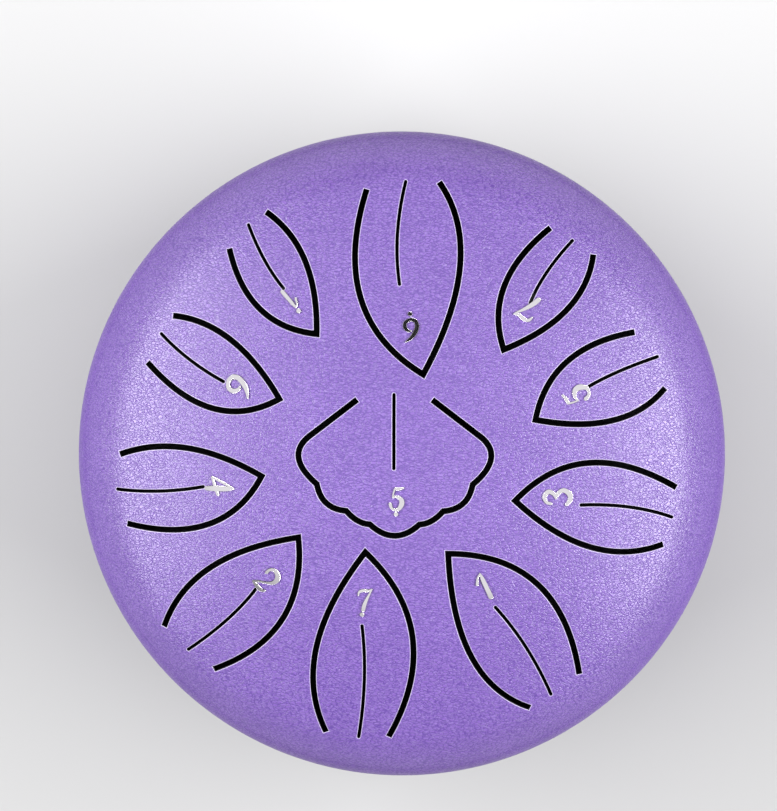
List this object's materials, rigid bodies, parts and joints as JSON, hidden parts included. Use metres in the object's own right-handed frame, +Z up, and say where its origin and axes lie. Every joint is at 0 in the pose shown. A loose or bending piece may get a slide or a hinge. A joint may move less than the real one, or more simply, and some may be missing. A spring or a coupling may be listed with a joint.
{
  "type": "steel tongue drum",
  "caption": "Small purple steel tongue drum: a shell-shaped tongue ringed by leaf-shaped ones, nickel digits, tuning magnets, welded rim and rubber feet",
  "frame": {"origin": "on the table under the drum's centre, at the bottom of the feet", "axes": "+Z up, +Y away from the player, +X to the player's right"},
  "size_m": [0.155, 0.155, 0.0842],
  "materials": {
    "paint": "purple powder coat with a fine leathery grain",
    "nickel": "bright polished nickel",
    "magnet": "nickel-plated magnet, satin",
    "rubber": "matt black rubber"
  },
  "bodies": {
    "drum": {"top_shell": "paint", "bottom_shell": "paint", "seam_weld": "paint", "foot_front": "rubber", "foot_right": "rubber", "foot_left": "rubber"},
    "note_low_5": {"tongue_low_5": "paint", "number_low_5": "nickel", "magnet_low_5": "magnet"},
    "note_low_6": {"tongue_low_6": "paint", "number_low_6": "nickel", "magnet_low_6": "magnet"},
    "note_low_7": {"tongue_low_7": "paint", "number_low_7": "nickel", "magnet_low_7": "magnet"},
    "note_mid_1": {"tongue_mid_1": "paint", "number_mid_1": "nickel", "magnet_mid_1": "magnet"},
    "note_mid_2": {"tongue_mid_2": "paint", "number_mid_2": "nickel", "magnet_mid_2": "magnet"},
    "note_mid_3": {"tongue_mid_3": "paint", "number_mid_3": "nickel", "magnet_mid_3": "magnet"},
    "note_mid_4": {"tongue_mid_4": "paint", "number_mid_4": "nickel", "magnet_mid_4": "magnet"},
    "note_mid_5": {"tongue_mid_5": "paint", "number_mid_5": "nickel", "magnet_mid_5": "magnet"},
    "note_mid_6": {"tongue_mid_6": "paint", "number_mid_6": "nickel", "magnet_mid_6": "magnet"},
    "note_mid_7": {"tongue_mid_7": "paint", "number_mid_7": "nickel", "magnet_mid_7": "magnet"},
    "note_high_1": {"tongue_high_1": "paint", "number_high_1": "nickel", "magnet_high_1": "magnet"}
  },
  "joints": [
    {"name": "spring_low_5", "type": "hinge", "parent": "drum", "child": "note_low_5", "pos_m": [-0.00062, 0.01576, 0.08216], "axis": [1, 0, 0.0042], "range_deg": [-0.4, 0.4], "stiffness_Nm_per_rad": 2},
    {"name": "spring_low_6", "type": "hinge", "parent": "drum", "child": "note_low_6", "pos_m": [0.00097, 0.06425, 0.06839], "axis": [0.9938, 0.0941, -0.0596], "range_deg": [-0.4, 0.4], "stiffness_Nm_per_rad": 2},
    {"name": "spring_low_7", "type": "hinge", "parent": "drum", "child": "note_low_7", "pos_m": [-0.00968, -0.06315, 0.06867], "axis": [-0.997, 0.0619, -0.0465], "range_deg": [-0.4, 0.4], "stiffness_Nm_per_rad": 2},
    {"name": "spring_mid_1", "type": "hinge", "parent": "drum", "child": "note_mid_1", "pos_m": [0.03619, -0.0526, 0.06871], "axis": [-0.8208, -0.5712, -0.0028], "range_deg": [-0.4, 0.4], "stiffness_Nm_per_rad": 2},
    {"name": "spring_mid_2", "type": "hinge", "parent": "drum", "child": "note_mid_2", "pos_m": [-0.04901, -0.04308, 0.06785], "axis": [-0.769, 0.6318, -0.0975], "range_deg": [-0.4, 0.4], "stiffness_Nm_per_rad": 2},
    {"name": "spring_mid_3", "type": "hinge", "parent": "drum", "child": "note_mid_3", "pos_m": [0.06244, -0.01156, 0.0689], "axis": [-0.2275, -0.9735, 0.0228], "range_deg": [-0.4, 0.4], "stiffness_Nm_per_rad": 2},
    {"name": "spring_mid_4", "type": "hinge", "parent": "drum", "child": "note_mid_4", "pos_m": [-0.06391, -0.00577, 0.06848], "axis": [-0.0962, 0.9954, -0.0034], "range_deg": [-0.4, 0.4], "stiffness_Nm_per_rad": 2},
    {"name": "spring_mid_5", "type": "hinge", "parent": "drum", "child": "note_mid_5", "pos_m": [0.05761, 0.02443, 0.06931], "axis": [0.4856, -0.8728, -0.0492], "range_deg": [-0.4, 0.4], "stiffness_Nm_per_rad": 2},
    {"name": "spring_mid_6", "type": "hinge", "parent": "drum", "child": "note_mid_6", "pos_m": [-0.05494, 0.02914, 0.06954], "axis": [0.4906, 0.8713, 0.0116], "range_deg": [-0.4, 0.4], "stiffness_Nm_per_rad": 2},
    {"name": "spring_mid_7", "type": "hinge", "parent": "drum", "child": "note_mid_7", "pos_m": [0.03964, 0.05161, 0.06809], "axis": [0.8473, -0.528, -0.0569], "range_deg": [-0.4, 0.4], "stiffness_Nm_per_rad": 2},
    {"name": "spring_high_1", "type": "hinge", "parent": "drum", "child": "note_high_1", "pos_m": [-0.03472, 0.05413, 0.06848], "axis": [0.6861, 0.7167, -0.1249], "range_deg": [-0.4, 0.4], "stiffness_Nm_per_rad": 2}
  ]
}
